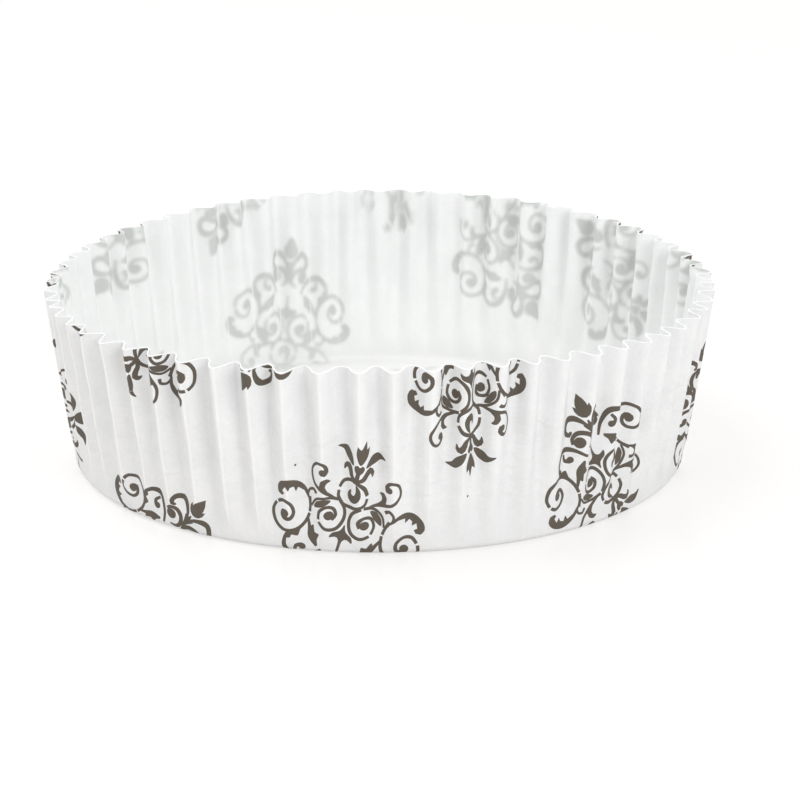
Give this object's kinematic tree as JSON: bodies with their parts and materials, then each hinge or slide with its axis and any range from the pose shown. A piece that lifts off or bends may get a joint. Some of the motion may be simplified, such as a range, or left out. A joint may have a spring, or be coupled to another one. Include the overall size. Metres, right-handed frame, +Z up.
{
  "type": "paper baking mold",
  "caption": "Round free-standing paper baking mold: a flat base and a low, slightly flared wall of fine vertical pleats, open at the top, with a printed scroll ornament.",
  "frame": {"origin": "middle of the underside of the flat base, on the surface that the mold stands on", "axes": "+Z up along the axis of the mold, -Y towards the side that faces the viewer in the picture"},
  "size_m": [0.18, 0.18, 0.05],
  "materials": {
    "greaseproof_paper": "matte greaseproof paper, white, printed outside in dark taupe brown"
  },
  "bodies": {
    "root": {"pleated_paper_mold": "greaseproof_paper"}
  },
  "joints": []
}
